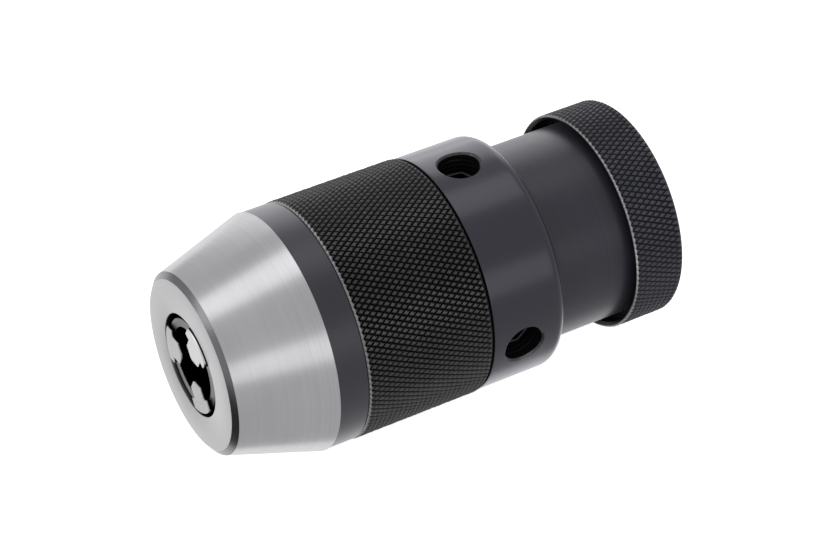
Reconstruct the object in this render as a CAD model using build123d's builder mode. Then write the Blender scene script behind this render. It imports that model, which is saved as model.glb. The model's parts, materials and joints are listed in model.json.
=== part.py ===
from build123d import *
import os
from math import cos, radians, sin, tan

# Keyless precision drill chuck, 1 to 13 mm, in millimetres, +Z up.
# The spindle axis is Y: the nose points to -Y and the origin is the centre of the rear face.
# A station is a distance from the nose face towards the rear; a clock angle is measured
# from +X towards +Z, seen from the nose.

LENGTH = 100.0

# Nose hood
MOUTH_RADIUS = 10.75
LIP_DEPTH = 0.8
FACE_RADIUS = 17.7
NOSE_RADIUS = 19.0
NOSE_CHAMFER = 0.95
HOOD_BASE = 19.8
HOOD_TAIL = 30.0
HOOD_BORE = 20.2

# Jaws and the way they slide
JAW_ANGLE = 17.5
JAW_CLOCKS = (64.0, -56.0, 184.0)
TIP_RADIUS = 3.25
TIP_FLAT = 0.8
JAW_FRONT = -0.3
JAW_REAR = 28.0
BACK_RADIUS_AT_FRONT = 9.9
BACK_ROUND = 9.0
RAIL_WIDTH = 8.0
RAIL_DEPTH = 2.9
WEB_WIDTH = 5.1
FOOT_INNER = 8.0
FOOT_OUTER = 17.0
NECK_REAR = 30.7
FOOT_REAR = 33.5
SLIDE_GAP = 0.1
WEB_SLOT_DEPTH = 9.0

# Jaw guide and its lock ring
GUIDE_BORE = 7.8
GUIDE_FRONT = 0.55
LAND_RADIUS = 9.55
GROOVE_FLOOR = 2.1
GUIDE_REAR = 16.4
GUIDE_NOSE_RADIUS = 11.3
GUIDE_SHOULDER = 4.95
LOCK_RING_REAR = 19.0
LOCK_RING_BORE = 16.6

# Knurled sleeve
SLEEVE_BAND_RADIUS = 24.8
SLEEVE_KNURL_RADIUS = 25.0
SLEEVE_GROOVE_RADIUS = 24.3
SLEEVE_GROOVE_FRONT = 25.95
SLEEVE_GROOVE_REAR = 26.35
SLEEVE_REAR = 53.95
SLEEVE_BORE = 22.8
FIT_GAP = 0.05

# Rear shell
SHELL_SPIGOT_FRONT = 45.0
SHELL_SPIGOT_BORE = 20.6
SHELL_FRONT = 54.35
SHELL_RADIUS = 24.75
SHELL_SHOULDER = 71.2
SHOULDER_ROUND = 2.2
COVE_RADIUS = 1.75
NECK_RADIUS = 20.72
NECK_REAR_STATION = 93.2
BUSH_SEAT = 16.6
HOLE_STATION = 61.4
HOLE_CLOCKS = (93.7, -7.2, 223.2)
HOLE_RADIUS = 4.0
HOLE_MOUTH_RADIUS = 4.2
HOLE_MOUTH_FLOOR = 20.95
HOLE_CHAMFER = 0.4
SCREW_TOP = 20.7
SCREW_BOTTOM = 16.75
SCREW_SOCKET_DEPTH = 2.6
SCREW_SOCKET_FLATS = 5.0

# Chuck body
BODY_FRONT = 46.5
FLANGE_REAR = 50.5
FLANGE_RADIUS = 20.0
JOURNAL_RADIUS = 14.5
THREAD_BORE = 9.0
THREAD_REAR = 74.0
SOCKET_DEPTH = 24.0
SOCKET_MOUTH_DIAMETER = 15.733
SOCKET_TAPER = 1 / 20.02

# Drive spindle
HEAD_RADIUS = 19.0
HEAD_FRONT = 28.1
HEAD_REAR = 35.6
SLOT_MOUTH = 30.6
SLOT_REAR = 33.6
SLOT_INNER = 5.0
STEM_RADIUS = 8.9
STEM_REAR = 62.6
STOP_RADIUS = 3.0

# Thrust bearing and journal bush
BALL_RADIUS = 2.0
BALL_PITCH_RADIUS = 17.5
BALL_COUNT = 18
BALL_STATION = 53.4
RACE_GAP = 1.7
RACE_THICKNESS = 1.2
RACE_GROOVE = 2.1
CAGE_THICKNESS = 1.6
BUSH_BORE = 14.55
SEAL_FRONT = 91.6

# Rear ring
RING_RADIUS = 23.1
RING_FRONT = 88.8
RING_WEB_FRONT = 94.0
RING_REAR = 99.9
SKIRT_BORE = 22.0
SKIRT_FLARE = 0.6
RING_FRONT_CHAMFER = 0.35
PIN_RADIUS = 1.25
PIN_CLOCKS = (34.0, 214.0)

SLOPE = tan(radians(JAW_ANGLE))


def half_section(points):
    """A closed half section of a turned piece, from (radius, station) corners."""
    with BuildSketch(Plane.XY) as section:
        with BuildLine():
            Polyline([(radius, station - LENGTH) for radius, station in points], close=True)
        make_face()
    return section.sketch


def station_plane(station):
    """The cross-section plane at a station; its normal points to the nose."""
    return Plane.XZ.offset(LENGTH - station)


def radial_plane(station, clock, radius):
    """A plane across the radius at a clock angle; its normal points outwards."""
    out = Vector(cos(radians(clock)), 0, sin(radians(clock)))
    centre = Vector(0, station - LENGTH, 0) + out * radius
    return Plane(origin=centre, x_dir=(0, 1, 0), z_dir=out)


def back_radius(station):
    """The radius of a jaw's back at a station, with the jaws at rest."""
    return BACK_RADIUS_AT_FRONT + (station - JAW_FRONT) * SLOPE


# The plane across a jaw's slide, on the jaw's back at its front end; the jaw is drawn on +Z
slide_direction = Vector(0, cos(radians(JAW_ANGLE)), sin(radians(JAW_ANGLE)))
rail_start = Vector(0, JAW_FRONT - LENGTH, BACK_RADIUS_AT_FRONT) - slide_direction * 6
slide_plane = Plane(origin=rail_start, x_dir=(-1, 0, 0), z_dir=slide_direction)

# Nose hood
cone_front = LIP_DEPTH + FIT_GAP
guide_base_radius = GUIDE_NOSE_RADIUS + GUIDE_SHOULDER - cone_front
groove_radius = GUIDE_NOSE_RADIUS + GROOVE_FLOOR - cone_front
guide_rear_radius = guide_base_radius + (GUIDE_REAR - GUIDE_SHOULDER) * SLOPE
hood_base_radius = NOSE_RADIUS + (HOOD_BASE - NOSE_CHAMFER) * SLOPE
hood_section = half_section([
    (MOUTH_RADIUS, 0),
    (FACE_RADIUS, 0),
    (NOSE_RADIUS, NOSE_CHAMFER),
    (hood_base_radius, HOOD_BASE),
    (SLEEVE_BORE - FIT_GAP, HOOD_BASE),
    (SLEEVE_BORE - FIT_GAP, HOOD_TAIL),
    (HOOD_BORE, HOOD_TAIL),
    (HOOD_BORE, GUIDE_REAR),
    (guide_rear_radius + FIT_GAP, GUIDE_REAR),
    (guide_base_radius + FIT_GAP, GUIDE_SHOULDER),
    (GUIDE_NOSE_RADIUS + FIT_GAP, cone_front),
    (GUIDE_NOSE_RADIUS + FIT_GAP, LIP_DEPTH),
    (MOUTH_RADIUS, LIP_DEPTH),
])
with BuildPart() as hood:
    revolve(hood_section, axis=Axis.Y)
hood.part.label = "hood"

# Jaw guide, with a T-slot for each jaw and a groove round its front lands
with BuildPart() as guide_slot:
    with BuildSketch(slide_plane):
        with Locations((0, -BACK_ROUND)):
            Circle(BACK_ROUND + SLIDE_GAP)
        with Locations((0, -RAIL_DEPTH / 2)):
            Rectangle(RAIL_WIDTH + 2 * SLIDE_GAP, RAIL_DEPTH + 2 * SLIDE_GAP, mode=Mode.INTERSECT)
        with Locations((0, -RAIL_DEPTH / 2 - WEB_SLOT_DEPTH / 2)):
            Rectangle(WEB_WIDTH + 2 * SLIDE_GAP, WEB_SLOT_DEPTH)
    extrude(amount=45)

guide_section = half_section([
    (GUIDE_BORE, GUIDE_FRONT),
    (LAND_RADIUS, GUIDE_FRONT),
    (LAND_RADIUS, GROOVE_FLOOR),
    (groove_radius, GROOVE_FLOOR),
    (guide_base_radius, GUIDE_SHOULDER),
    (guide_rear_radius, GUIDE_REAR),
    (GUIDE_BORE, GUIDE_REAR),
])
with BuildPart() as jaw_guide:
    revolve(guide_section, axis=Axis.Y)
    for clock in JAW_CLOCKS:
        add(guide_slot.part.rotate(Axis.Y, 90 - clock), mode=Mode.SUBTRACT)
jaw_guide.part.label = "jaw_guide"

lock_ring_section = half_section([
    (LOCK_RING_BORE, GUIDE_REAR),
    (HOOD_BORE - FIT_GAP, GUIDE_REAR),
    (HOOD_BORE - FIT_GAP, LOCK_RING_REAR),
    (LOCK_RING_BORE, LOCK_RING_REAR),
])
with BuildPart() as guide_lock_ring:
    revolve(lock_ring_section, axis=Axis.Y)
    with BuildSketch(station_plane(LOCK_RING_REAR)):
        with PolarLocations(HOOD_BORE, 4, start_angle=4):
            Rectangle(3.0, 2.4)
    extrude(amount=1.2, mode=Mode.SUBTRACT)
guide_lock_ring.part.label = "guide_lock_ring"

# Jaws: a round-backed rail along the slide, a web down to the grip, and a foot for the spindle
with BuildPart() as jaw:
    with BuildSketch(slide_plane):
        with Locations((0, -BACK_ROUND)):
            Circle(BACK_ROUND)
        with Locations((0, -RAIL_DEPTH / 2)):
            Rectangle(RAIL_WIDTH, RAIL_DEPTH, mode=Mode.INTERSECT)
    extrude(amount=45)
    with BuildSketch(Plane.YZ):
        with BuildLine():
            Polyline([
                (JAW_FRONT - LENGTH, TIP_RADIUS),
                (JAW_REAR - LENGTH, TIP_RADIUS),
                (JAW_REAR - LENGTH, back_radius(JAW_REAR) - RAIL_DEPTH / 2),
                (JAW_FRONT - LENGTH, back_radius(JAW_FRONT) - RAIL_DEPTH / 2),
            ], close=True)
        make_face()
    extrude(amount=WEB_WIDTH / 2, both=True)
    split(bisect_by=station_plane(JAW_FRONT), keep=Keep.BOTTOM)
    split(bisect_by=station_plane(JAW_REAR), keep=Keep.TOP)
    v_height = (WEB_WIDTH - TIP_FLAT) / 2 / tan(radians(60))
    with BuildSketch(station_plane(JAW_REAR + 1)):
        for side in (-1, 1):
            with BuildLine():
                Polyline([
                    (side * TIP_FLAT / 2, TIP_RADIUS - 1),
                    (side * TIP_FLAT / 2, TIP_RADIUS),
                    (side * WEB_WIDTH / 2, TIP_RADIUS + v_height),
                    (side * (WEB_WIDTH / 2 + 1), TIP_RADIUS + v_height),
                    (side * (WEB_WIDTH / 2 + 1), TIP_RADIUS - 1),
                ], close=True)
            make_face()
    extrude(amount=JAW_REAR - JAW_FRONT + 2, mode=Mode.SUBTRACT)
    with BuildSketch(station_plane(NECK_REAR)):
        with Locations((0, (FOOT_INNER + FOOT_OUTER) / 2)):
            Rectangle(WEB_WIDTH, FOOT_OUTER - FOOT_INNER)
    extrude(amount=NECK_REAR - JAW_REAR)
    with BuildSketch(station_plane(FOOT_REAR)):
        with Locations((0, (FOOT_INNER + FOOT_OUTER) / 2)):
            Rectangle(RAIL_WIDTH, FOOT_OUTER - FOOT_INNER)
    extrude(amount=FOOT_REAR - NECK_REAR)

# Knurled sleeve
sleeve_section = half_section([
    (SLEEVE_BORE, HOOD_BASE),
    (SLEEVE_BAND_RADIUS, HOOD_BASE),
    (SLEEVE_BAND_RADIUS, SLEEVE_GROOVE_FRONT),
    (SLEEVE_GROOVE_RADIUS, SLEEVE_GROOVE_FRONT),
    (SLEEVE_GROOVE_RADIUS, SLEEVE_GROOVE_REAR),
    (SLEEVE_KNURL_RADIUS - 0.4, SLEEVE_GROOVE_REAR),
    (SLEEVE_KNURL_RADIUS, SLEEVE_GROOVE_REAR + 0.4),
    (SLEEVE_KNURL_RADIUS, SLEEVE_REAR - 0.4),
    (SLEEVE_KNURL_RADIUS - 0.4, SLEEVE_REAR),
    (SLEEVE_BORE, SLEEVE_REAR),
])
with BuildPart() as knurled_sleeve:
    revolve(sleeve_section, axis=Axis.Y)
knurled_sleeve.part.label = "knurled_sleeve"

# Rear shell
race_rear = BALL_STATION + RACE_GAP + RACE_THICKNESS
with BuildPart() as rear_shell:
    with BuildSketch(Plane.XY) as shell_section:
        add(half_section([
            (SHELL_SPIGOT_BORE, SHELL_SPIGOT_FRONT),
            (SLEEVE_BORE - FIT_GAP, SHELL_SPIGOT_FRONT),
            (SLEEVE_BORE - FIT_GAP, SHELL_FRONT),
            (SHELL_RADIUS, SHELL_FRONT),
            (SHELL_RADIUS, SHELL_SHOULDER),
            (NECK_RADIUS, SHELL_SHOULDER),
            (NECK_RADIUS, NECK_REAR_STATION),
            (BUSH_SEAT, NECK_REAR_STATION),
            (BUSH_SEAT, race_rear),
            (SHELL_SPIGOT_BORE, race_rear),
        ]))
        rim = Vector(SHELL_RADIUS, SHELL_SHOULDER - LENGTH, 0)
        root = Vector(NECK_RADIUS, SHELL_SHOULDER - LENGTH, 0)
        fillet(shell_section.vertices().sort_by_distance(rim)[0], radius=SHOULDER_ROUND)
        fillet(shell_section.vertices().sort_by_distance(root)[0], radius=COVE_RADIUS)
    revolve(axis=Axis.Y)
    for clock in HOLE_CLOCKS:
        with BuildSketch(radial_plane(HOLE_STATION, clock, BUSH_SEAT - 1)):
            Circle(HOLE_RADIUS)
        extrude(amount=SHELL_RADIUS - BUSH_SEAT + 3, mode=Mode.SUBTRACT)
        with BuildSketch(radial_plane(HOLE_STATION, clock, HOLE_MOUTH_FLOOR)):
            Circle(HOLE_MOUTH_RADIUS)
        extrude(amount=SHELL_RADIUS - HOLE_MOUTH_FLOOR + 1, mode=Mode.SUBTRACT)
        with BuildSketch(radial_plane(HOLE_STATION, clock, SHELL_RADIUS + 0.6)):
            Circle(HOLE_MOUTH_RADIUS + HOLE_CHAMFER + 0.6)
        extrude(amount=-HOLE_CHAMFER - 0.6, taper=45, mode=Mode.SUBTRACT)
rear_shell.part.label = "rear_shell"

# Lock screws in the radial holes, with hexagon sockets
with BuildPart() as lock_screws:
    for clock in HOLE_CLOCKS:
        with BuildSketch(radial_plane(HOLE_STATION, clock, SCREW_BOTTOM)):
            Circle(HOLE_RADIUS - FIT_GAP)
        extrude(amount=SCREW_TOP - SCREW_BOTTOM)
        with BuildSketch(radial_plane(HOLE_STATION, clock, SCREW_TOP)):
            RegularPolygon(radius=SCREW_SOCKET_FLATS / 2, side_count=6, major_radius=False)
        extrude(amount=-SCREW_SOCKET_DEPTH, mode=Mode.SUBTRACT)
lock_screws.part.label = "lock_screws"

# Chuck body
socket_mouth = SOCKET_MOUTH_DIAMETER / 2
socket_end = socket_mouth - SOCKET_DEPTH * SOCKET_TAPER / 2
body_section = half_section([
    (THREAD_BORE, BODY_FRONT),
    (FLANGE_RADIUS - 0.5, BODY_FRONT),
    (FLANGE_RADIUS, BODY_FRONT + 0.5),
    (FLANGE_RADIUS, FLANGE_REAR),
    (JOURNAL_RADIUS, FLANGE_REAR),
    (JOURNAL_RADIUS, LENGTH - 0.6),
    (JOURNAL_RADIUS - 0.6, LENGTH),
    (socket_mouth, LENGTH),
    (socket_end, LENGTH - SOCKET_DEPTH),
    (THREAD_BORE, THREAD_REAR),
])
with BuildPart() as chuck_body:
    revolve(body_section, axis=Axis.Y)
    with BuildSketch(station_plane(LENGTH)):
        for clock in PIN_CLOCKS:
            with PolarLocations(JOURNAL_RADIUS, 1, start_angle=clock):
                Circle(PIN_RADIUS)
    extrude(amount=LENGTH - RING_WEB_FRONT, mode=Mode.SUBTRACT)
chuck_body.part.label = "chuck_body"

# Rear ring, with a thin skirt round the end of the neck, and its round keys
ring_section = half_section([
    (JOURNAL_RADIUS + FIT_GAP, RING_WEB_FRONT),
    (SKIRT_BORE, RING_WEB_FRONT),
    (SKIRT_BORE, RING_FRONT + SKIRT_FLARE),
    (SKIRT_BORE + SKIRT_FLARE, RING_FRONT),
    (RING_RADIUS - RING_FRONT_CHAMFER, RING_FRONT),
    (RING_RADIUS, RING_FRONT + RING_FRONT_CHAMFER),
    (RING_RADIUS, RING_REAR - 0.5),
    (RING_RADIUS - 0.5, RING_REAR),
    (JOURNAL_RADIUS + FIT_GAP, RING_REAR),
])
with BuildPart() as rear_ring:
    revolve(ring_section, axis=Axis.Y)
    with BuildSketch(station_plane(RING_REAR)):
        for clock in PIN_CLOCKS:
            with PolarLocations(JOURNAL_RADIUS, 1, start_angle=clock):
                Circle(PIN_RADIUS)
    extrude(amount=RING_REAR - RING_WEB_FRONT, mode=Mode.SUBTRACT)
rear_ring.part.label = "rear_ring"

with BuildPart() as ring_pins:
    with BuildSketch(station_plane(RING_REAR)):
        for clock in PIN_CLOCKS:
            with PolarLocations(JOURNAL_RADIUS, 1, start_angle=clock):
                Circle(PIN_RADIUS - 0.02)
    extrude(amount=RING_REAR - RING_WEB_FRONT)
ring_pins.part.label = "ring_pins"

end_washer_section = half_section([
    (BUSH_BORE, NECK_REAR_STATION + 0.1),
    (19.0, NECK_REAR_STATION + 0.1),
    (19.0, RING_WEB_FRONT),
    (BUSH_BORE, RING_WEB_FRONT),
])
with BuildPart() as end_washer:
    revolve(end_washer_section, axis=Axis.Y)
end_washer.part.label = "end_washer"

# Drive spindle, with a T-slot across its head for each jaw's foot
with BuildPart() as head_slot:
    with BuildSketch(station_plane(SLOT_MOUTH)):
        with Locations((0, (SLOT_INNER + 30) / 2)):
            Rectangle(WEB_WIDTH + 4 * SLIDE_GAP, 30 - SLOT_INNER)
    extrude(amount=SLOT_MOUTH - HEAD_FRONT + 1)
    with BuildSketch(station_plane(SLOT_REAR)):
        with Locations((0, (SLOT_INNER + 30) / 2)):
            Rectangle(RAIL_WIDTH + 4 * SLIDE_GAP, 30 - SLOT_INNER)
    extrude(amount=SLOT_REAR - SLOT_MOUTH)

spindle_section = half_section([
    (STOP_RADIUS, HEAD_FRONT),
    (HEAD_RADIUS, HEAD_FRONT),
    (HEAD_RADIUS, HEAD_REAR),
    (STEM_RADIUS, HEAD_REAR),
    (STEM_RADIUS, STEM_REAR - 1),
    (STEM_RADIUS - 1, STEM_REAR),
    (STOP_RADIUS, STEM_REAR),
])
with BuildPart() as drive_spindle:
    revolve(spindle_section, axis=Axis.Y)
    for clock in JAW_CLOCKS:
        add(head_slot.part.rotate(Axis.Y, 90 - clock), mode=Mode.SUBTRACT)
drive_spindle.part.label = "drive_spindle"

stop_section = half_section([
    (0, HEAD_FRONT + 0.1),
    (STOP_RADIUS - FIT_GAP, HEAD_FRONT + 0.1),
    (STOP_RADIUS - FIT_GAP, HEAD_REAR),
    (0, HEAD_REAR),
])
with BuildPart() as drill_stop:
    revolve(stop_section, axis=Axis.Y)
drill_stop.part.label = "drill_stop"

# Thrust bearing
with BuildPart() as groove_tool:
    with BuildSketch(Plane.XY):
        with Locations((BALL_PITCH_RADIUS, BALL_STATION - LENGTH)):
            Circle(RACE_GROOVE)
    revolve(axis=Axis.Y)

body_race_section = half_section([
    (BUSH_BORE, BALL_STATION - RACE_GAP - RACE_THICKNESS),
    (FLANGE_RADIUS, BALL_STATION - RACE_GAP - RACE_THICKNESS),
    (FLANGE_RADIUS, BALL_STATION - RACE_GAP),
    (BUSH_BORE, BALL_STATION - RACE_GAP),
])
with BuildPart() as body_race:
    revolve(body_race_section, axis=Axis.Y)
    add(groove_tool.part, mode=Mode.SUBTRACT)
body_race.part.label = "body_race"

shell_race_section = half_section([
    (15.0, BALL_STATION + RACE_GAP),
    (SHELL_SPIGOT_BORE - FIT_GAP, BALL_STATION + RACE_GAP),
    (SHELL_SPIGOT_BORE - FIT_GAP, race_rear),
    (15.0, race_rear),
])
with BuildPart() as shell_race:
    revolve(shell_race_section, axis=Axis.Y)
    add(groove_tool.part, mode=Mode.SUBTRACT)
shell_race.part.label = "shell_race"

cage_section = half_section([
    (15.0, BALL_STATION - CAGE_THICKNESS / 2),
    (20.0, BALL_STATION - CAGE_THICKNESS / 2),
    (20.0, BALL_STATION + CAGE_THICKNESS / 2),
    (15.0, BALL_STATION + CAGE_THICKNESS / 2),
])
with BuildPart() as ball_cage:
    revolve(cage_section, axis=Axis.Y)
    with BuildSketch(station_plane(BALL_STATION + CAGE_THICKNESS)):
        with PolarLocations(BALL_PITCH_RADIUS, BALL_COUNT):
            Circle(BALL_RADIUS + 0.1)
    extrude(amount=2 * CAGE_THICKNESS, mode=Mode.SUBTRACT)
ball_cage.part.label = "ball_cage"

with BuildPart() as thrust_balls:
    with Locations(station_plane(BALL_STATION)):
        with PolarLocations(BALL_PITCH_RADIUS, BALL_COUNT):
            Sphere(BALL_RADIUS)
thrust_balls.part.label = "thrust_balls"

# Journal bush and dust seal
bush_section = half_section([
    (BUSH_BORE, race_rear + 0.1),
    (BUSH_SEAT - 0.01, race_rear + 0.1),
    (BUSH_SEAT - 0.01, SEAL_FRONT - 0.1),
    (BUSH_BORE, SEAL_FRONT - 0.1),
])
with BuildPart() as journal_bush:
    revolve(bush_section, axis=Axis.Y)
journal_bush.part.label = "journal_bush"

seal_section = half_section([
    (BUSH_BORE + 0.05, SEAL_FRONT),
    (BUSH_SEAT - 0.01, SEAL_FRONT),
    (BUSH_SEAT - 0.01, NECK_REAR_STATION),
    (BUSH_BORE + 0.05, NECK_REAR_STATION),
])
with BuildPart() as dust_seal:
    revolve(seal_section, axis=Axis.Y)
dust_seal.part.label = "dust_seal"

os.makedirs("parts", exist_ok=True)
pieces = [
    hood, jaw_guide, guide_lock_ring, knurled_sleeve, rear_shell, lock_screws, chuck_body,
    rear_ring, ring_pins, end_washer, drive_spindle, drill_stop, body_race, shell_race,
    ball_cage, thrust_balls, journal_bush, dust_seal,
]
for piece in pieces:
    export_step(piece.part, f"parts/{piece.part.label}.step")
for number, clock in enumerate(JAW_CLOCKS, start=1):
    turned_jaw = jaw.part.rotate(Axis.Y, 90 - clock)
    turned_jaw.label = f"jaw_{number}"
    export_step(turned_jaw, f"parts/{turned_jaw.label}.step")
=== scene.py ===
import math
import random

import bmesh
import bpy
from mathutils import Matrix, Vector
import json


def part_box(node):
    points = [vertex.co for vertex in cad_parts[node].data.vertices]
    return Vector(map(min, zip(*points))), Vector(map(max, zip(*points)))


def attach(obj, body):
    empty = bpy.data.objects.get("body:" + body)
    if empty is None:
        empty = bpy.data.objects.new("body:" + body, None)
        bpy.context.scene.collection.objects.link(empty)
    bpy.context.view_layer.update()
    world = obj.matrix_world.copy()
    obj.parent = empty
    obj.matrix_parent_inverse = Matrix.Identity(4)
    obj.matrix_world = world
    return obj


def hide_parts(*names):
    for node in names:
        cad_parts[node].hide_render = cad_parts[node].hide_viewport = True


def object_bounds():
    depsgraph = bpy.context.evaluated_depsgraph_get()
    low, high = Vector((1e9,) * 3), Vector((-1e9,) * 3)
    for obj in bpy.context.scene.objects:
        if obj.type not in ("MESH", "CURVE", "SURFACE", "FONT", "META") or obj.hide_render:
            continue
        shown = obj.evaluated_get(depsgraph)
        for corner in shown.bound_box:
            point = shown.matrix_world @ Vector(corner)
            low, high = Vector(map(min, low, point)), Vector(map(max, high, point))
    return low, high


# Drill chuck lying level: the spindle axis is Y, the nose points to -Y. Lengths below are in
# millimetres; a station is a distance from the nose face towards the rear, and a clock angle
# runs from +X towards +Z.

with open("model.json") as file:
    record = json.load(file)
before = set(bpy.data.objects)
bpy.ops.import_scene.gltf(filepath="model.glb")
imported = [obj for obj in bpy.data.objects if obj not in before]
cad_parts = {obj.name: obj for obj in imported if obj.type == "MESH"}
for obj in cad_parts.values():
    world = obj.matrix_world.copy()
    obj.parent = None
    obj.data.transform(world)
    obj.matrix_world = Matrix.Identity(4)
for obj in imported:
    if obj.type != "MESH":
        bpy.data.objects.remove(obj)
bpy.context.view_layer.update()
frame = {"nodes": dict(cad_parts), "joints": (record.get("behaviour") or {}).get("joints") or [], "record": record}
random.seed(7)

MM = 0.001
AROUND = 256
NOSE_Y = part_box("hood")[0].y


def span(node):
    """A turned node's outer radius, front station and rear station."""
    low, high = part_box(node)
    return high.x / MM, (low.y - NOSE_Y) / MM, (high.y - NOSE_Y) / MM


def clock_of(axis):
    """The clock angle of a direction, or of a point, in degrees."""
    return math.degrees(math.atan2(axis[2], axis[0]))


def at(radius, station, clock):
    """A point in metres from its radius and station in millimetres and its clock angle."""
    a = math.radians(clock)
    return (radius * MM * math.cos(a), NOSE_Y + station * MM, radius * MM * math.sin(a))


joint_axis = {joint["child"]: joint["axis"] for joint in frame["joints"]}
jaw_clocks = [clock_of(joint_axis[f"jaw_{i}"]) for i in (1, 2, 3)]
slope = math.tan(math.acos(joint_axis["jaw_1"][1]))
spanner_holes = [m for m in frame["record"]["mounts"] if m["name"].startswith("spanner_hole")]
hole_clocks = [clock_of(m["axis"]) for m in spanner_holes]
hole_station = (spanner_holes[0]["pos_m"][1] - NOSE_Y) / MM
hole_radius = spanner_holes[0]["dims"]["r_mm"]


# ---------------------------------------------------------------- materials

def new_material(name):
    material = bpy.data.materials.new(name)
    material.use_nodes = True
    tree = material.node_tree
    tree.nodes.clear()
    out = tree.nodes.new("ShaderNodeOutputMaterial")
    shader = tree.nodes.new("ShaderNodeBsdfPrincipled")
    tree.links.new(shader.outputs["BSDF"], out.inputs["Surface"])
    return material, tree, shader


def noise(tree, vector, scale, detail):
    texture = tree.nodes.new("ShaderNodeTexNoise")
    texture.inputs["Scale"].default_value = scale
    texture.inputs["Detail"].default_value = detail
    tree.links.new(vector, texture.inputs["Vector"])
    return texture.outputs["Fac"]


def metal(name, dark, light, rough, metallic=1.0, turned=0.0, grain=0.0, anisotropic=0.0,
          specular=0.5, tint=(1, 1, 1), coat=0.0, sheen=0.0, painted_shade_behind=None):
    """A steel-like finish. dark and light are the two colours that it varies between, rough is
    its lowest and highest roughness, turned and grain are the depths of its tool marks and of
    its fine grain in millimetres. Behind the station given last its colour is painted
    near-black: painted shade for the unlit depths of the nose mouth and the jaws."""
    material, tree, shader = new_material(name)
    nodes, link = tree.nodes, tree.links.new
    position = nodes.new("ShaderNodeTexCoord").outputs["Object"]

    # Tool marks follow the radius and the station, so they run round the spindle axis
    split = nodes.new("ShaderNodeSeparateXYZ")
    link(position, split.inputs[0])
    across = nodes.new("ShaderNodeCombineXYZ")
    link(split.outputs["X"], across.inputs["X"])
    link(split.outputs["Z"], across.inputs["Y"])
    radius = nodes.new("ShaderNodeVectorMath")
    radius.operation = "LENGTH"
    link(across.outputs[0], radius.inputs[0])
    ring = nodes.new("ShaderNodeCombineXYZ")
    link(radius.outputs["Value"], ring.inputs["X"])
    link(split.outputs["Y"], ring.inputs["Y"])
    marks = noise(tree, ring.outputs[0], scale=4200, detail=3)
    clouds = noise(tree, position, scale=60, detail=4)
    fine = noise(tree, position, scale=2600, detail=2)

    mixed = nodes.new("ShaderNodeMath")
    mixed.operation = "ADD"
    link(clouds, mixed.inputs[0])
    link(marks, mixed.inputs[1])
    share = nodes.new("ShaderNodeMapRange")
    share.inputs["From Min"].default_value = 0.7
    share.inputs["From Max"].default_value = 1.3
    link(mixed.outputs[0], share.inputs["Value"])
    shade = nodes.new("ShaderNodeMix")
    shade.data_type = "RGBA"
    shade.inputs["A"].default_value = (*dark, 1)
    shade.inputs["B"].default_value = (*light, 1)
    link(share.outputs[0], shade.inputs["Factor"])
    colour = shade.outputs["Result"]

    # Painted shade: behind the given station the base colour is mixed to near-black, standing in for the shade
    # deep inside the mouth
    if painted_shade_behind is not None:
        edge = nodes.new("ShaderNodeMapRange")
        edge.inputs["From Min"].default_value = NOSE_Y + painted_shade_behind * MM
        edge.inputs["From Max"].default_value = NOSE_Y + (painted_shade_behind + 0.1) * MM
        link(split.outputs["Y"], edge.inputs["Value"])
        black = nodes.new("ShaderNodeMix")
        black.data_type = "RGBA"
        black.inputs["B"].default_value = (0.004, 0.004, 0.005, 1)
        link(colour, black.inputs["A"])
        link(edge.outputs[0], black.inputs["Factor"])
        colour = black.outputs["Result"]
    link(colour, shader.inputs["Base Color"])

    polish = nodes.new("ShaderNodeMapRange")
    polish.inputs["To Min"].default_value = rough[0]
    polish.inputs["To Max"].default_value = rough[1]
    link(fine, polish.inputs["Value"])
    link(polish.outputs[0], shader.inputs["Roughness"])

    normal = None
    for depth, source in ((turned, marks), (grain, fine)):
        if depth > 0:
            bump = nodes.new("ShaderNodeBump")
            bump.inputs["Distance"].default_value = depth * MM
            link(source, bump.inputs["Height"])
            if normal:
                link(normal, bump.inputs["Normal"])
            normal = bump.outputs[0]
    if normal:
        link(normal, shader.inputs["Normal"])

    if anisotropic:
        tangent = nodes.new("ShaderNodeTangent")
        tangent.direction_type = "RADIAL"
        tangent.axis = "Y"
        link(tangent.outputs[0], shader.inputs["Tangent"])
        shader.inputs["Anisotropic"].default_value = anisotropic
        shader.inputs["Anisotropic Rotation"].default_value = 0.25
    shader.inputs["Metallic"].default_value = metallic
    shader.inputs["Specular IOR Level"].default_value = specular
    shader.inputs["Specular Tint"].default_value = (*tint, 1)
    shader.inputs["Coat Tint"].default_value = (*tint, 1)
    shader.inputs["Coat Weight"].default_value = coat
    shader.inputs["Coat Roughness"].default_value = rough[0]
    shader.inputs["Sheen Weight"].default_value = sheen
    shader.inputs["Sheen Roughness"].default_value = 0.4
    return material


violet = (0.94, 0.91, 1.0)
bright_cone = metal("ground_nose", (0.60, 0.595, 0.615), (0.70, 0.695, 0.72), (0.26, 0.36),
                    turned=0.0012, anisotropic=0.6)
bright_face = metal("ground_face", (0.66, 0.66, 0.67), (0.75, 0.75, 0.765), (0.30, 0.38),
                    turned=0.0008)
nose_chamfer = metal("turned_chamfer", (0.19, 0.19, 0.20), (0.33, 0.33, 0.345), (0.18, 0.28),
                     turned=0.003)
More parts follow.
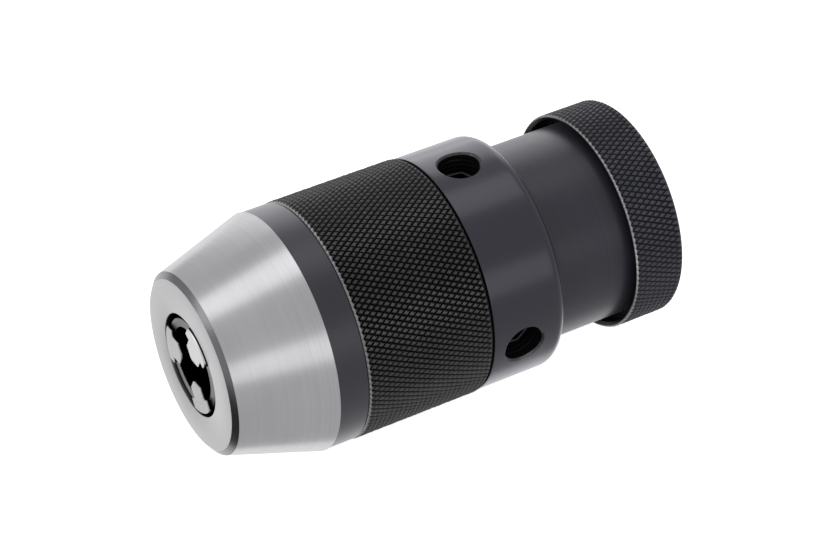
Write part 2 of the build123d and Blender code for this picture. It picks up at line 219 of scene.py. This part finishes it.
# Painted shade: the hood's mouth surfaces deeper than 0.9 mm are painted near-black
mouth_edge = metal("mouth_edge", (0.20, 0.20, 0.205), (0.34, 0.34, 0.35), (0.3, 0.4),
                   turned=0.001, painted_shade_behind=0.9)
oxide = metal("black_oxide", (0.014, 0.0135, 0.021), (0.020, 0.0195, 0.029), (0.22, 0.28),
              metallic=0.0, grain=0.0004, tint=violet, coat=0.7)
satin_oxide = metal("satin_black_oxide", (0.020, 0.0195, 0.027), (0.030, 0.029, 0.039),
                    (0.34, 0.42), metallic=0.0, grain=0.0006, specular=0.4, tint=violet,
                    coat=0.45, sheen=0.1)
band_oxide = metal("band_black_oxide", (0.016, 0.0155, 0.022), (0.024, 0.023, 0.031),
                   (0.34, 0.42), metallic=0.0, grain=0.0006, specular=0.4, tint=violet,
                   coat=0.8, sheen=0.5)
oxide_edge = metal("black_oxide_chamfer", (0.05, 0.05, 0.055), (0.12, 0.12, 0.13), (0.2, 0.3),
                   metallic=0.8, turned=0.002)
knurl_land = metal("knurl_land", (0.018, 0.018, 0.019), (0.045, 0.045, 0.048), (0.24, 0.34),
                   metallic=0.0, grain=0.002, specular=0.8)
# Painted shade: the groove colour is near-black, far darker than the oxide on the lands, standing in for the shade
# down in the knurl
knurl_pit = metal("knurl_groove", (0.002, 0.002, 0.002), (0.006, 0.006, 0.007), (0.35, 0.5),
                  metallic=0.0, grain=0.002, specular=0.2)
blue_land = metal("blued_knurl_land", (0.022, 0.023, 0.034), (0.042, 0.044, 0.060),
                  (0.30, 0.42), metallic=0.0, grain=0.002, specular=0.7)
# Painted shade: the blued ring's grooves are coloured darker than its lands
blue_pit = metal("blued_knurl_groove", (0.006, 0.006, 0.011), (0.012, 0.012, 0.020),
                 (0.4, 0.5), metallic=0.0, grain=0.002, specular=0.3)
worn_edge = metal("worn_edge", (0.20, 0.20, 0.21), (0.62, 0.62, 0.63), (0.30, 0.45),
                  turned=0.001)
# Painted shade: the jaw guide is painted near-black deeper than 0.62 mm into the mouth
guide_steel = metal("guide_steel", (0.22, 0.22, 0.225), (0.34, 0.34, 0.35), (0.3, 0.42),
                    turned=0.0015, painted_shade_behind=0.62)
# Painted shade: the jaws are painted near-black everywhere behind the nose face; their steel shows only where they
# stand out in front of it
jaw_steel = metal("jaw_steel", (0.56, 0.56, 0.565), (0.72, 0.72, 0.725), (0.28, 0.4),
                  grain=0.0015, painted_shade_behind=-0.1)
# Painted highlight: a lighter copy of the jaw steel for jaw 1 alone, standing in for the light it catches; the
# three jaws are alike
painted_highlight_jaw = metal("painted_highlight_jaw_steel", (0.90, 0.90, 0.905), (0.97, 0.97, 0.97), (0.28, 0.4),
                   grain=0.0015, painted_shade_behind=-0.1)
body_steel = metal("body_steel", (0.28, 0.28, 0.29), (0.40, 0.40, 0.41), (0.25, 0.38),
                   turned=0.002)
inner_steel = metal("inner_steel", (0.010, 0.010, 0.010), (0.022, 0.022, 0.024), (0.35, 0.5),
                    turned=0.002)
race_steel = metal("race_steel", (0.55, 0.55, 0.56), (0.66, 0.66, 0.67), (0.12, 0.2),
                   turned=0.0005)
bronze = metal("bronze", (0.42, 0.27, 0.12), (0.58, 0.40, 0.20), (0.3, 0.45), turned=0.002)
# Painted shade: near-black for hole walls, threads and the faces in gaps and recesses between parts, darker than
# the oxide they are cut in
painted_shade_black = metal("painted_shade_black", (0.004, 0.004, 0.004), (0.010, 0.010, 0.011),
                     (0.22, 0.34), metallic=0.0, grain=0.002, specular=0.3)
screw_black = metal("screw_black", (0.02, 0.02, 0.021), (0.06, 0.06, 0.062), (0.18, 0.3),
                    grain=0.002)
rubber = metal("rubber", (0.010, 0.010, 0.010), (0.020, 0.020, 0.020), (0.6, 0.8),
               metallic=0.0, grain=0.004)


# ---------------------------------------------------------------- mesh helpers

def rounded(points, steps=4):
    """Round the corners of a closed outline. A point is (x, y) or (x, y, corner radius)."""
    out = []
    count = len(points)
    for i, point in enumerate(points):
        here = Vector(point[:2])
        if len(point) < 3:
            out.append(tuple(here))
            continue
        before = (Vector(points[i - 1][:2]) - here).normalized()
        after = (Vector(points[(i + 1) % count][:2]) - here).normalized()
        half = before.angle(after) / 2
        centre = here + (before + after).normalized() * (point[2] / math.sin(half))
        start = here + before * (point[2] / math.tan(half)) - centre
        turn = math.pi - 2 * half
        if before.x * after.y > before.y * after.x:
            turn = -turn
        for k in range(steps + 1):
            a = turn * k / steps
            out.append((centre.x + start.x * math.cos(a) - start.y * math.sin(a),
                        centre.y + start.x * math.sin(a) + start.y * math.cos(a)))
    return out


def finish_mesh(name, work, materials, sharp):
    """Turn a bmesh into a smooth-shaded piece with hard edges over the angle sharp."""
    bmesh.ops.remove_doubles(work, verts=work.verts, dist=0.0000005)
    bmesh.ops.recalc_face_normals(work, faces=work.faces)
    mesh = bpy.data.meshes.new(name)
    work.to_mesh(mesh)
    work.free()
    for material in materials:
        mesh.materials.append(material)
    mesh.shade_smooth()
    mesh.set_sharp_from_angle(angle=math.radians(sharp))
    thing = bpy.data.objects.new(name, mesh)
    bpy.context.scene.collection.objects.link(thing)
    return thing


def build_faces(verts, faces, parts):
    """A bmesh from points, faces and each face's material number."""
    work = bmesh.new()
    made = [work.verts.new(v) for v in verts]
    for face, part in zip(faces, parts):
        work.faces.new([made[v] for v in face]).material_index = part
    return work


def place(thing, body, slot, *nodes):
    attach(thing, body)
    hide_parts(*nodes)


def skin(layers, start, parts, closed=False):
    """Faces between layers of points that each go round once, from the point number start."""
    size = len(layers[0])
    faces, picked = [], []
    for i in range(len(layers) - 1 + closed):
        j = (i + 1) % len(layers)
        for k in range(size):
            following = (k + 1) % size
            faces.append((start + i * size + k, start + i * size + following,
                          start + j * size + following, start + j * size + k))
            picked.append(parts[i] if parts else 0)
    return faces, picked


def lathe(name, outline, materials, pick=None, sharp=35):
    """Turn a closed outline of (radius, station) points. pick(radius, station) chooses the
    material of the face there."""
    clocks = [360 * k / AROUND for k in range(AROUND)]
    layers = [[at(r, s, c) for c in clocks] for r, s in outline]
    parts = None
    if pick:
        parts = []
        for i, (r, s) in enumerate(outline):
            r2, s2 = outline[(i + 1) % len(outline)]
            parts.append(pick((r + r2) / 2, (s + s2) / 2))
    faces, picked = skin(layers, 0, parts, closed=True)
    work = build_faces([v for layer in layers for v in layer], faces, picked)
    return finish_mesh(name, work, materials, sharp)


# ---------------------------------------------------------------- nose hood

cone_front_radius, cone_front, face_radius, mouth_radius = 19.0, 0.95, 17.7, 10.75
cone_rear = 19.8
lip_radius, lip_rear = 11.35, 0.85
inside_radius = 15
hood_rear = span("hood")[2]
cone_radius = span("hood")[0]
guide_radius, _, guide_rear = span("jaw_guide")
guide_shoulder, bore_radius, joint_radius = 4.95, 20.2, 22.75
shoulder_radius = guide_radius - (guide_rear - guide_shoulder) * slope
hood_outline = rounded([
    (mouth_radius, 0, 0.14),
    (face_radius, 0, 0.10),
    (cone_front_radius, cone_front, 0.12),
    (cone_radius, cone_rear, 0.06),
    (joint_radius, cone_rear),
    (joint_radius, hood_rear),
    (bore_radius, hood_rear),
    (bore_radius, guide_rear),
    (guide_radius + 0.05, guide_rear),
    (shoulder_radius + 0.05, guide_shoulder),
    (lip_radius, lip_rear),
    (mouth_radius, lip_rear),
])


CONE, FACE, CHAMFER, MOUTH = range(4)


def hood_part(radius, station):
    """The material number of the hood's face at a radius and station."""
    if station < 0.03:
        return FACE
    if station < cone_front and radius > face_radius:
        return CHAMFER
    return MOUTH if radius < inside_radius or station > cone_rear - 0.01 else CONE


hood = lathe("nose_hood", hood_outline,
             [bright_cone, bright_face, nose_chamfer, mouth_edge], hood_part)
place(hood, "shell", "ground_steel", "hood")


# ---------------------------------------------------------------- knurled pieces

# DARK faces take the near-black painted shade: the sleeve's rear face in its joint and the inside of the rear
# ring's skirt
LAND, PIT, WORN, PLAIN, DARK = range(5)


def knurl(radius, front, rear, around, rows_per_mm, twist, depth, flat):
    """Raised diamonds between two families of crossing grooves, cut off square at both ends.
    twist is the millimetres that the pattern leans round for each one along, and the flat top
    of a diamond is the share flat of its cell."""
    column = 360 / around / 2
    row = 1 / (2 * rows_per_mm)
    lean = math.degrees(twist / radius)
    wander, wear = 0.05, 0.12
    wall_share, wall_drop, top_drop = 0.72, 0.62, 0.08
    verts, faces, picked = [], [], []
    index = {}

    def vertex(key, clock, station, r):
        if key not in index:
            index[key] = len(verts)
            verts.append(at(r, station, clock + lean * (station - front)))
        return index[key]

    corners = ((1, 0), (0, 1), (-1, 0), (0, -1))
    for i in range(2 * around):
        for j in range(-2, int((rear - front) / row) + 4):
            if (i + j) % 2:
                continue
            clock, station = i * column, front + j * row
            slip = (random.uniform(-wander, wander) * column,
                    random.uniform(-wander, wander) * row)
            worn = radius - random.uniform(0, wear) * depth
            groove, wall, top = [], [], []
            for side, (di, dj) in enumerate(corners):
                groove.append(vertex(("groove", (i + di) % (2 * around), j + dj),
                                     (i + di) * column, front + (j + dj) * row,
                                     radius - depth))
                wall.append(vertex(("wall", i, j, side), clock + di * column * wall_share,
                                   station + dj * row * wall_share,
                                   radius - wall_drop * depth))
                top.append(vertex(("top", i, j, side), clock + di * column * flat + slip[0],
                                  station + dj * row * flat + slip[1],
                                  worn - top_drop * depth))
            crown = vertex(("crown", i, j), clock + slip[0], station + slip[1], worn)
            for side in range(4):
                after = (side + 1) % 4
                faces += [(groove[side], groove[after], wall[after], wall[side]),
                          (wall[side], wall[after], top[after], top[side]),
                          (top[side], top[after], crown)]
                picked += [PIT, LAND, LAND]

    work = build_faces(verts, faces, picked)
    for station, side in ((front, -1), (rear, 1)):
        everything = list(work.verts) + list(work.edges) + list(work.faces)
        bmesh.ops.bisect_plane(work, geom=everything, plane_co=at(0, station, 0),
                               plane_no=(0, side, 0), clear_outer=True, dist=1e-8)
    return work


def sweep(work, edges, outline):
    """Carry an edge loop through rings of (radius, station, material number); the last loop."""
    for r, s, part in outline:
        grown = bmesh.ops.extrude_edge_only(work, edges=edges)["geom"]
        for item in grown:
            if isinstance(item, bmesh.types.BMVert):
                item.co = at(r, s, clock_of(item.co))
            elif isinstance(item, bmesh.types.BMFace):
                item.material_index = part
        edges = [item for item in grown if isinstance(item, bmesh.types.BMEdge)]
    return edges


def knurled_ring(name, work, front, rear, before, after, materials):
    """Close a knurled cylinder with the outlines before its front edge and after its rear one,
    and join the two ends of those."""
    ends = []
    for station, outline in ((front, before), (rear, after)):
        y = at(0, station, 0)[1]
        edge = [e for e in work.edges
                if e.is_boundary and all(abs(v.co.y - y) < 1e-6 for v in e.verts)]
        ends += sweep(work, edge, outline)
    for face in bmesh.ops.bridge_loops(work, edges=ends)["faces"]:
        face.material_index = PLAIN
    return finish_mesh(name, work, materials, 25)


sleeve_radius, sleeve_front, sleeve_rear = span("knurled_sleeve")
band_radius, groove_radius, groove_front, groove_rear = 24.8, 24.3, 25.95, 26.35
knurl_front, knurl_rear = groove_rear + 0.35, sleeve_rear - 0.4
pattern = knurl(sleeve_radius, knurl_front, knurl_rear, around=122, rows_per_mm=0.45,
                twist=0.064, depth=0.5, flat=0.3)
sleeve = knurled_ring(
    "knurled_turning_sleeve", pattern, knurl_front, knurl_rear,
    [(24.6, groove_rear, WORN), (groove_radius, groove_rear, PLAIN),
     (groove_radius, groove_front, PLAIN), (band_radius - 0.06, groove_front, PLAIN),
     (band_radius, groove_front - 0.06, PLAIN), (band_radius, sleeve_front + 0.06, PLAIN),
     (band_radius - 0.06, sleeve_front, PLAIN), (joint_radius + 0.05, sleeve_front, PLAIN)],
    # Painted shade: the sleeve's rear face in the joint is painted near-black
    [(24.6, sleeve_rear, DARK), (joint_radius + 0.05, sleeve_rear, DARK)],
    [knurl_land, knurl_pit, worn_edge, band_oxide, painted_shade_black])
place(sleeve, "shell", "black_oxide_knurl", "knurled_sleeve")

ring_radius, ring_front, ring_rear = span("rear_ring")
skirt_radius, flare, web_front, hub_radius = 22.0, 0.6, 94.0, 14.55
knurl_front, knurl_rear = ring_front + 0.35, ring_rear - 0.45
pattern = knurl(ring_radius, knurl_front, knurl_rear, around=115, rows_per_mm=0.405,
                twist=0.045, depth=0.34, flat=0.34)
ring = knurled_ring(
    "knurled_rear_ring", pattern, knurl_front, knurl_rear,
    # Painted shade: the inside of the skirt is painted near-black
    [(ring_radius - 0.32, ring_front, WORN), (skirt_radius + flare, ring_front, PLAIN),
     (skirt_radius, ring_front + flare, DARK), (skirt_radius, web_front, DARK),
     (hub_radius, web_front, DARK)],
    [(ring_radius - 0.45, ring_rear, PLAIN), (hub_radius + 0.3, ring_rear, PLAIN),
     (hub_radius, ring_rear - 0.3, PLAIN)],
    [blue_land, blue_pit, worn_edge, oxide, painted_shade_black])
place(ring, "chuck", "black_oxide_knurl", "rear_ring")


# ---------------------------------------------------------------- rear shell

shell_radius, spigot_front, shell_rear = span("rear_shell")
shell_front, shoulder, neck_radius, bush_radius = 54.35, 71.2, 20.6, 16.6
spigot_bore, spigot_rear = 20.6, 56.3
chamfer_radius = hole_radius + 0.4
patch, patch_steps = 5.6, 24
half_angle = math.degrees(patch / shell_radius)
column_degrees = 1.4
barrel_front, barrel_rear = 55.2, 68.0
# The hole walls and the faces hidden in the joint with the sleeve take the near-black painted shade
OXIDE, SHADED_BLACK, EDGE, SATIN = range(4)


def shell_clocks():
    """Columns round the shell, evenly spaced, but denser beside each hole."""
    centres = sorted(c % 360 for c in hole_clocks)
    out = []
    for i, centre in enumerate(centres):
        for k in range(patch_steps):
            out.append(centre + half_angle * (2 * k / patch_steps - 1))
        start = centre + half_angle
        turn = 360 if i == len(centres) - 1 else 0
        end = centres[(i + 1) % len(centres)] - half_angle + turn
        steps = round((end - start) / column_degrees)
        out += [start + (end - start) * k / steps for k in range(steps)]
    return out


def beside_hole(clock, u, v):
    """A point on the shell from its arc distance round from a hole and its distance along."""
    return at(shell_radius, hole_station + v, clock + math.degrees(u / shell_radius))


def round_hole(clock, radius, angle, height):
    """A point round a hole's own axis, at a height above the spindle axis."""
    a = math.radians(clock)
    u, v = radius * math.cos(angle), radius * math.sin(angle)
    return ((height * math.cos(a) - u * math.sin(a)) * MM, NOSE_Y + (hole_station + v) * MM,
            (height * math.sin(a) + u * math.cos(a)) * MM)


def surface_height(radius, angle):
    return math.sqrt(shell_radius ** 2 - (radius * math.cos(angle)) ** 2)


def hole_layers(clock):
    """The patch of shell round a hole, its chamfer and its threaded wall, as rings of points,
    and the material number between each ring and the next."""
    steps = [2 * k / patch_steps - 1 for k in range(patch_steps)]
    border = [(x * patch, -patch) for x in steps] + [(patch, x * patch) for x in steps]
    border += [(-x * patch, patch) for x in steps] + [(-patch, -x * patch) for x in steps]
    angles = [math.atan2(v, shell_radius * math.sin(u / shell_radius)) for u, v in border]
    layers, parts = [], []
    for share in (1.0, 0.6, 0.3, 0.12, 0.0):
        layer = []
        for (u, v), angle in zip(border, angles):
            edge_u = shell_radius * math.asin(chamfer_radius * math.cos(angle) / shell_radius)
            edge_v = chamfer_radius * math.sin(angle)
            layer.append(beside_hole(clock, edge_u + (u - edge_u) * share,
                                     edge_v + (v - edge_v) * share))
        layers.append(layer)
        parts.append(OXIDE)
    # The hole's wall and thread are painted near-black as painted shade
    for radius, drop, part in ((chamfer_radius - 0.05, 0.03, EDGE),
                               (hole_radius, 0.40, SHADED_BLACK)):
        layers.append([round_hole(clock, radius, a, surface_height(chamfer_radius, a) - drop)
                       for a in angles])
        parts.append(part)
    pitch, top, turns, rings = 1.0, 23.4, 4, 64
    thread_depth, crest, lead_in, hole_floor = 0.16, 0.88, 8, 16.9
    for k in range(rings):
        height = top - k * turns * pitch / rings
        layer = []
        for a in angles:
            phase = ((top - height) / pitch + a / math.tau) % 1
            tooth = max(0.0, crest - abs(phase - 0.5) * 2) / crest
            radius = hole_radius + thread_depth * tooth * min(1, k / lead_in)
            layer.append(round_hole(clock, radius, a,
                                    min(height, surface_height(chamfer_radius, a) - 0.5)))
        layers.append(layer)
        parts.append(SHADED_BLACK)
    layers.append([round_hole(clock, hole_radius - 0.1, a, hole_floor) for a in angles])
    return layers, parts


band = [(shell_radius, hole_station + patch * (2 * k / patch_steps - 1))
        for k in range(patch_steps + 1)]
shell_outline = rounded([
    (spigot_bore, spigot_front),
    (joint_radius, spigot_front, 0.2),
    (joint_radius, shell_front),
    (shell_radius, shell_front, 0.12),
    (shell_radius, barrel_front),
])
shell_outline += band
shell_outline += rounded([
    (shell_radius, barrel_rear),
    (shell_radius, shoulder, 2.2),
    (neck_radius, shoulder, 1.75),
    (neck_radius, shell_rear, 0.2),
    (bush_radius, shell_rear),
    (bush_radius, spigot_rear),
    (spigot_bore, spigot_rear),
], steps=8)
clocks = shell_clocks()
shell_layers = [[at(r, s, c) for c in clocks] for r, s in shell_outline]
verts = [v for layer in shell_layers for v in layer]
zones = []
for r, s in shell_outline:
    # Painted shade: the spigot inside the sleeve and the shell's front face in the joint are painted near-black
    if s < shell_front - 0.01 or r < shell_radius - 0.3 and s < shell_front + 0.01:
        zones.append(SHADED_BLACK)
    else:
        zones.append(SATIN if s > shoulder - 0.01 else OXIDE)
faces, parts = skin(shell_layers, 0, zones, closed=True)
first_row = shell_outline.index(band[0])
kept, kept_parts = [], []
for number, face in enumerate(faces):
    row, column = divmod(number, len(clocks))
    middle = (clocks[column] + 0.01) % 360
    near = any(abs((middle - c + 180) % 360 - 180) < half_angle for c in hole_clocks)
    if not (near and first_row <= row < first_row + patch_steps):
        kept.append(face)
        kept_parts.append(parts[number])
faces, parts = kept, kept_parts
for clock in hole_clocks:
    layers, layer_parts = hole_layers(clock)
    more, more_parts = skin(layers, len(verts), layer_parts)
    verts += [v for layer in layers for v in layer]
    faces += more
    parts += more_parts
shell = finish_mesh("rear_shell_body", build_faces(verts, faces, parts),
                    [oxide, painted_shade_black, oxide_edge, satin_oxide], 32)
place(shell, "shell", "black_oxide", "rear_shell")


# ---------------------------------------------------------------- lock screws

screw_radius, screw_top, screw_bottom, socket_flat = 3.95, 20.7, 16.75, 2.5
screw_top_radius, middle_radius, socket_turn = 3.5, 0.2, 0.35
socket_depth, drill_point = 2.4, 2.8


def hexagon(angle, flat):
    """The radius at an angle of a hexagon that is flat from its middle to each side."""
    return flat / math.cos((angle + socket_turn) % (math.pi / 3) - math.pi / 6)


def screw_layers(clock, count=72):
    """A socket set screw as rings of points from its lower end to the middle of its socket."""
    angles = [math.tau * k / count for k in range(count)]
    rings = [(lambda a: middle_radius, screw_bottom), (lambda a: screw_radius, screw_bottom),
             (lambda a: screw_radius, screw_top - 0.5), (lambda a: screw_top_radius, screw_top),
             (lambda a: hexagon(a, socket_flat + 0.25), screw_top),
             (lambda a: hexagon(a, socket_flat), screw_top - 0.2),
             (lambda a: hexagon(a, socket_flat), screw_top - socket_depth),
             (lambda a: middle_radius, screw_top - drill_point)]
    return [[round_hole(clock, size(a), a, height) for a in angles] for size, height in rings]


verts, faces, parts = [], [], []
for clock in hole_clocks:
    layers = screw_layers(clock)
    more, more_parts = skin(layers, len(verts), None)
    size = len(layers[0])
    more.append(tuple(range(len(verts), len(verts) + size)))
    last = len(verts) + (len(layers) - 1) * size
    more.append(tuple(range(last, last + size)))
    verts += [v for layer in layers for v in layer]
    faces += more
    parts += more_parts + [0, 0]
screws = finish_mesh("lock_screws_socket_head", build_faces(verts, faces, parts),
                     [screw_black], 30)
place(screws, "shell", "black_screw", "lock_screws")


# ---------------------------------------------------------------- chuck body

flange_radius, flange_front, body_rear = span("chuck_body")
flange_rear, journal_radius, thread_radius = 50.5, 14.5, 9.0
socket_mouth, socket_floor = 7.8665, 76.0
# Millimetres along the socket for each one that its radius shrinks
socket_taper = 40.04
body = lathe("chuck_body_turned", rounded([
    (thread_radius, flange_front),
    (flange_radius, flange_front, 0.4),
    (flange_radius, flange_rear, 0.1),
    (journal_radius, flange_rear),
    (journal_radius, body_rear - 0.6, 0.1),
    (journal_radius - 0.6, body_rear, 0.1),
    (socket_mouth, body_rear, 0.3),
    (socket_mouth - (body_rear - socket_floor) / socket_taper, socket_floor),
    (thread_radius, socket_floor - 2),
]), [body_steel])
place(body, "chuck", "body_steel", "chuck_body")


# ---------------------------------------------------------------- jaws

back, rail, web, tip, flat, rail_depth = 9.0, 4.0, 2.55, 3.25, 0.4, 2.9
jaw_rear, neck_rear, foot_inner, foot_outer = 28.0, 30.7, 8.0, 17.0
_, jaw_front, foot_rear = span("jaw_1")
back_at_front = 9.9


def jaw_section(station):
    """A jaw's cross-section as (across, radius) points: a round-backed rail, a web and a tip."""
    top = back_at_front + (station - jaw_front) * slope
    under = top - rail_depth / math.cos(math.atan(slope))
    edge = math.asin(rail / back)
    arc = [(back * math.sin(a), top - back + back * math.cos(a))
           for a in (edge * (1 - k / 4) for k in range(9))]
    start = tip + (web - flat) / math.tan(math.radians(60))
    return [(flat, tip), (web, start), (web, under), (rail, under), *arc,
            (-rail, under), (-web, under), (-web, start), (-flat, tip)]


def rectangle(half_width, inner, outer):
    return [(-half_width, inner), (half_width, inner), (half_width, outer),
            (-half_width, outer)]


def jaw(number, clock):
    turn = math.radians(clock)
    verts, faces = [], []
    bars = [((jaw_front, jaw_section(jaw_front)), (jaw_rear, jaw_section(jaw_rear))),
            ((jaw_rear - 0.05, rectangle(web - 0.01, foot_inner, foot_outer)),
             (neck_rear + 0.05, rectangle(web - 0.01, foot_inner, foot_outer))),
            ((neck_rear, rectangle(rail, foot_inner, foot_outer)),
             (foot_rear, rectangle(rail, foot_inner, foot_outer)))]
    for ends in bars:
        start, size = len(verts), len(ends[0][1])
        for station, loop in ends:
            for across, r in loop:
                verts.append(((r * math.cos(turn) - across * math.sin(turn)) * MM,
                              NOSE_Y + station * MM,
                              (r * math.sin(turn) + across * math.cos(turn)) * MM))
        for k in range(size):
            following = (k + 1) % size
            faces.append((start + k, start + following,
                          start + size + following, start + size + k))
        faces.append(tuple(range(start, start + size)))
        faces.append(tuple(range(start + size, start + 2 * size)))
    work = build_faces(verts, faces, [0] * len(faces))
    # Jaw 1 takes the lighter copy of the steel as a painted highlight
    steel = painted_highlight_jaw if number == 1 else jaw_steel
    thing = finish_mesh(f"gripping_jaw_{number}", work, [steel], 30)
    bevel = thing.modifiers.new("edges", "BEVEL")
    bevel.width = 0.12 * MM
    bevel.segments = 2
    bevel.limit_method = "ANGLE"
    bevel.angle_limit = math.radians(25)
    place(thing, f"jaw_{number}", "jaw_steel", f"jaw_{number}")


for number, clock in enumerate(jaw_clocks, start=1):
    jaw(number, clock)


# ---------------------------------------------------------------- carried-over CAD nodes

finishes = {
    "jaw_guide": guide_steel, "guide_lock_ring": oxide, "ring_pins": race_steel,
    "end_washer": race_steel, "drive_spindle": inner_steel, "drill_stop": inner_steel,
    "body_race": race_steel, "shell_race": race_steel, "ball_cage": bronze,
    "thrust_balls": race_steel, "journal_bush": bronze, "dust_seal": rubber,
}
for node, material in finishes.items():
    data = frame["nodes"][node].data
    data.materials.clear()
    data.materials.append(material)


# ---------------------------------------------------------------- floor, light and camera

bpy.ops.mesh.primitive_plane_add(size=40, location=(0, 0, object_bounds()[0].z))
floor = bpy.context.object
floor.name = "floor"
paper, tree, shader = new_material("pale_floor")
tint = tree.nodes.new("ShaderNodeMix")
tint.data_type = "RGBA"
tint.inputs["A"].default_value = (0.82, 0.82, 0.82, 1)
tint.inputs["B"].default_value = (0.86, 0.86, 0.86, 1)
tree.links.new(noise(tree, tree.nodes.new("ShaderNodeTexCoord").outputs["Object"], 3, 2),
               tint.inputs["Factor"])
tree.links.new(tint.outputs["Result"], shader.inputs["Base Color"])
shader.inputs["Roughness"].default_value = 0.9
shader.inputs["Emission Color"].default_value = (1, 1, 1, 1)
shader.inputs["Emission Strength"].default_value = 0.9
floor.data.materials.append(paper)
# The floor is there for the camera alone, so that softboxes below it light the chuck too
floor.visible_glossy = False
floor.visible_diffuse = False
floor.visible_shadow = False

world = bpy.data.worlds.new("studio")
bpy.context.scene.world = world
world.use_nodes = True
tree = world.node_tree
sky = tree.nodes["Background"]
sky.inputs["Color"].default_value = (1, 1, 1, 1)
toward = tree.nodes.new("ShaderNodeVectorMath")
toward.operation = "DOT_PRODUCT"
toward.inputs[1].default_value = Vector((0.04, -0.70, -0.71)).normalized()
tree.links.new(tree.nodes.new("ShaderNodeTexCoord").outputs["Generated"], toward.inputs[0])
dim = tree.nodes.new("ShaderNodeMapRange")
dim.interpolation_type = "SMOOTHSTEP"
dim.inputs["From Min"].default_value = 0.80
dim.inputs["From Max"].default_value = 0.97
dim.inputs["To Min"].default_value = 0.5
dim.inputs["To Max"].default_value = 0.06
tree.links.new(toward.outputs["Value"], dim.inputs["Value"])
seen = tree.nodes.new("ShaderNodeLightPath")
backdrop = tree.nodes.new("ShaderNodeMath")
backdrop.operation = "MAXIMUM"
tree.links.new(seen.outputs["Is Camera Ray"], backdrop.inputs[0])
tree.links.new(dim.outputs[0], backdrop.inputs[1])
tree.links.new(backdrop.outputs[0], sky.inputs["Strength"])


def softbox(name, toward, distance, size, radiance):
    """A rectangular lamp, size across and along the spindle axis, facing the chuck."""
    light = bpy.data.lights.new(name, "AREA")
    light.shape = "RECTANGLE"
    light.size, light.size_y = size
    light.energy = radiance * math.pi * size[0] * size[1]
    lamp = bpy.data.objects.new(name, light)
    back_axis = Vector(toward).normalized()
    side = Vector((0, 1, 0)).cross(back_axis).normalized()
    turn = Matrix((side, back_axis.cross(side), back_axis)).transposed()
    lamp.matrix_world = Matrix.LocRotScale(
        Vector((0, NOSE_Y / 2, 0)) + back_axis * distance, turn.to_quaternion(), None)
    bpy.context.scene.collection.objects.link(lamp)


behind = (-0.683, 0.303, -0.665)
softbox("overhead", (-0.16, 0.03, 0.95), 1.0, (0.50, 1.2), 0.75)
softbox("right", (0.93, 0.0, 0.29), 1.0, (0.42, 1.2), 0.6)
softbox("front", (-0.33, -0.84, 0.42), 1.0, (0.6, 0.6), 0.8)
softbox("backlight", behind, 0.8, (1.5, 1.5), 0.45)
softbox("backlight_core", behind, 0.8, (0.7, 0.8), 1.5)
softbox("rear_left", (-0.85, 0.45, 0.30), 1.0, (0.7, 0.7), 0.8)

camera = bpy.data.objects.new("camera", bpy.data.cameras.new("camera"))
bpy.context.scene.collection.objects.link(camera)
bpy.context.scene.camera = camera
camera.data.sensor_width = 36
camera.data.lens = 123.5
camera.data.clip_start = 0.01
camera.location = Vector(at(0, 0, 0)) + Vector((0.3810, -0.1690, 0.3707))
heading = Vector((-0.6630, 0.3826, -0.6434))
camera.rotation_euler = heading.to_track_quat("-Z", "Y").to_euler()

bpy.context.scene.view_settings.view_transform = "Standard"
bpy.context.scene.view_settings.look = "None"
